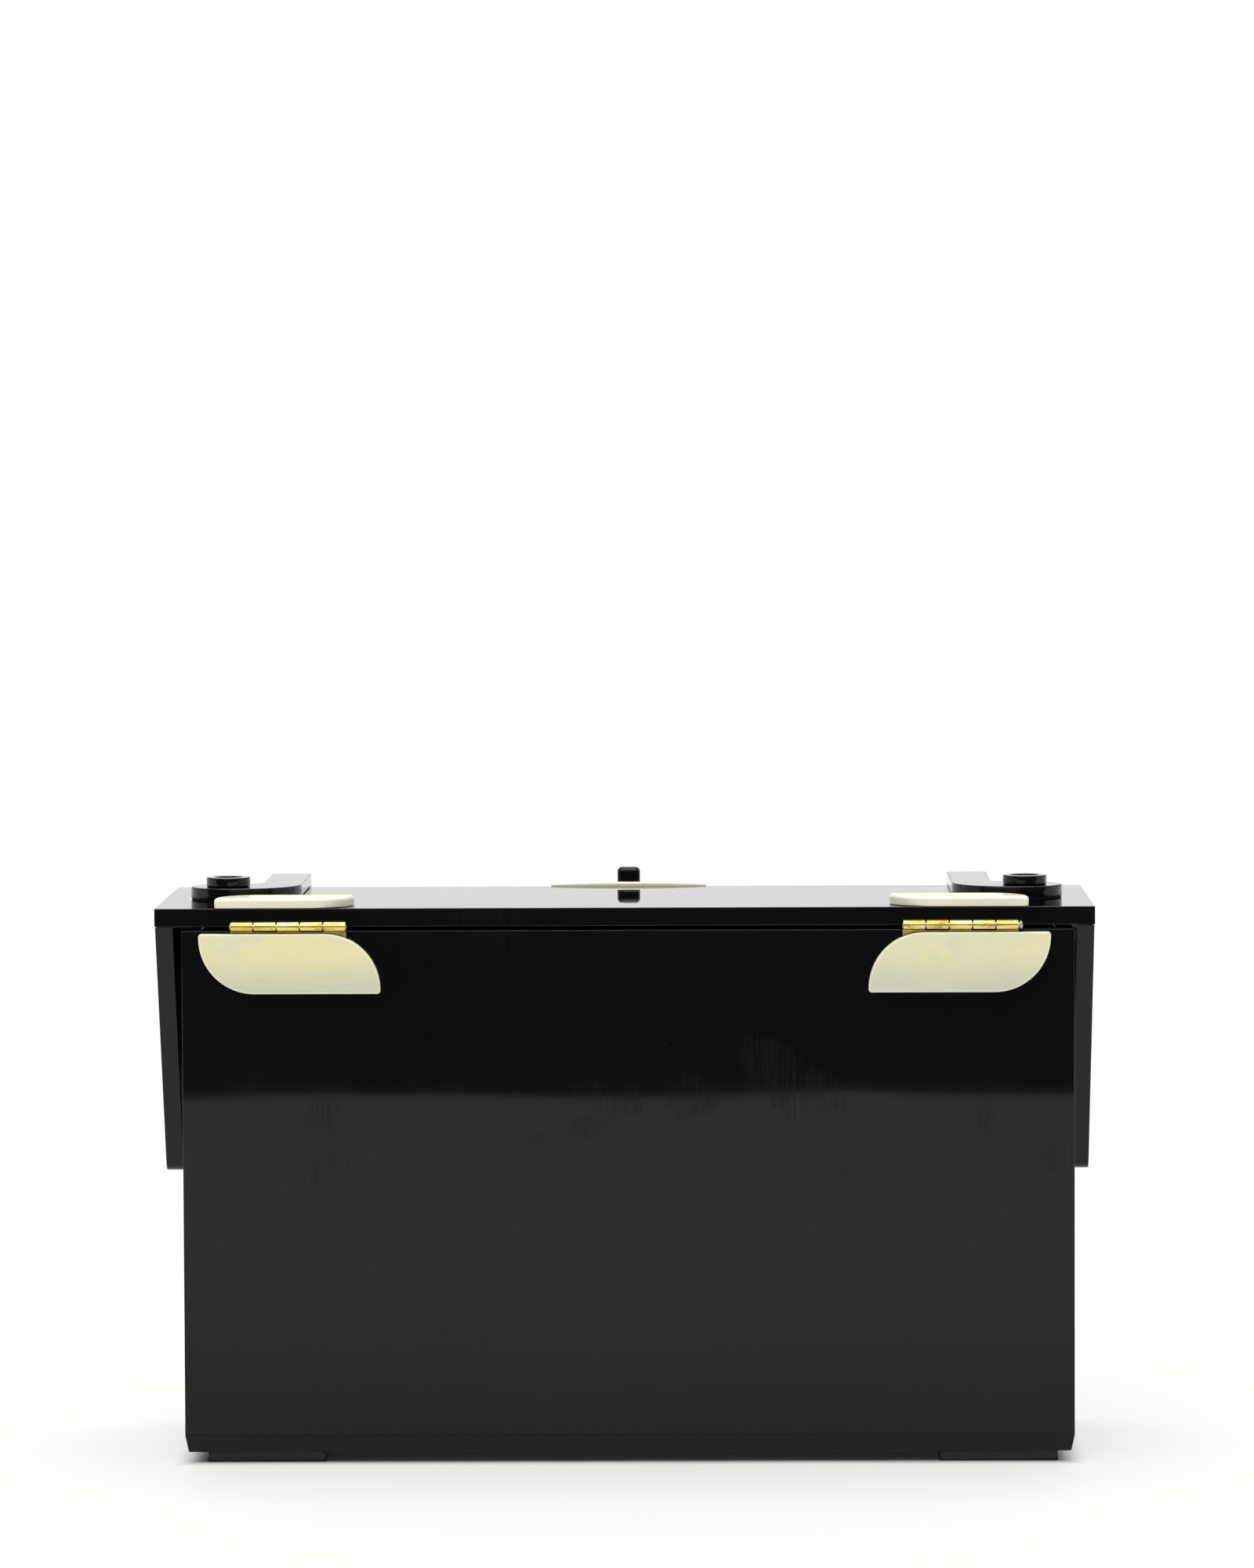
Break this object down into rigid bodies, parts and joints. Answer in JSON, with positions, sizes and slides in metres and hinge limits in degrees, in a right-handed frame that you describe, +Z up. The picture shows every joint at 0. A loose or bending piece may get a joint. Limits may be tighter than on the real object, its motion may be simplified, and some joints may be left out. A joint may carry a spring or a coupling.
{
  "type": "vanity case",
  "caption": "Rigid glossy black acrylic vanity case with flapped hinged lid, pearl hinge covers, swinging bail handle and turn-bar clasp.",
  "frame": {"origin": "on the ground, under the middle of the whole object's box", "axes": "+X to the right for a person who faces the clasp, +Y towards the hinges at the rear, +Z up"},
  "size_m": [0.243, 0.0892, 0.1502],
  "materials": {
    "black_acrylic": "polished, near mirror gloss",
    "pearl_acrylic": "cream pearl marbled, polished",
    "brass": "worn, lightly polished",
    "mirror_glass": "silvered glass",
    "rubber": "matte black"
  },
  "bodies": {
    "case": {"back_panel": "black_acrylic", "case_rivet_left_inner": "brass", "case_rivet_left_outer": "brass", "case_rivet_right_inner": "brass", "case_rivet_right_outer": "brass", "clasp_keeper": "pearl_acrylic", "floor_plate": "black_acrylic", "foot_front_left": "black_acrylic", "foot_front_right": "black_acrylic", "foot_rear_left": "black_acrylic", "foot_rear_right": "black_acrylic", "front_panel": "black_acrylic", "hinge_cover_rear_left": "pearl_acrylic", "hinge_cover_rear_right": "pearl_acrylic", "hinge_leaf_case_left": "brass", "hinge_leaf_case_right": "brass", "hinge_pin_left": "brass", "hinge_pin_right": "brass", "lid_rest_left": "rubber", "lid_rest_right": "rubber", "side_panel_left": "black_acrylic", "side_panel_right": "black_acrylic"},
    "lid": {"arm_boss_left": "black_acrylic", "arm_boss_right": "black_acrylic", "arm_screw_left": "brass", "arm_screw_right": "brass", "arm_washer_left": "rubber", "arm_washer_right": "rubber", "clasp_pivot": "brass", "clasp_plate": "pearl_acrylic", "flap_guide": "black_acrylic", "handle_arm_left": "black_acrylic", "handle_arm_right": "black_acrylic", "handle_pin_left": "brass", "handle_pin_right": "brass", "hinge_cover_top_left": "pearl_acrylic", "hinge_cover_top_right": "pearl_acrylic", "hinge_leaf_lid_left": "brass", "hinge_leaf_lid_right": "brass", "lid_flap_left": "black_acrylic", "lid_flap_right": "black_acrylic", "lid_mirror": "mirror_glass", "lid_plate": "black_acrylic", "lid_rivet_left_inner": "brass", "lid_rivet_left_outer": "brass", "lid_rivet_right_inner": "brass", "lid_rivet_right_outer": "brass", "pivot_block_left": "black_acrylic", "pivot_block_right": "black_acrylic"},
    "handle": {"handle_bail": "black_acrylic"},
    "clasp": {"clasp_bar": "black_acrylic"}
  },
  "joints": [
    {"name": "lid_hinge", "type": "hinge", "parent": "case", "child": "lid", "pos_m": [0, 0.04333, 0.1398], "axis": [-1, 0, 0], "range_deg": [0, 150]},
    {"name": "handle_swing", "type": "hinge", "parent": "lid", "child": "handle", "pos_m": [0, -0.04077, 0.1405], "axis": [-1, 0, 0], "range_deg": [0, 180]},
    {"name": "clasp_turn", "type": "hinge", "parent": "lid", "child": "clasp", "pos_m": [0, -0.04105, 0.1364], "axis": [0, 1, 0], "range_deg": [0, 90]}
  ]
}
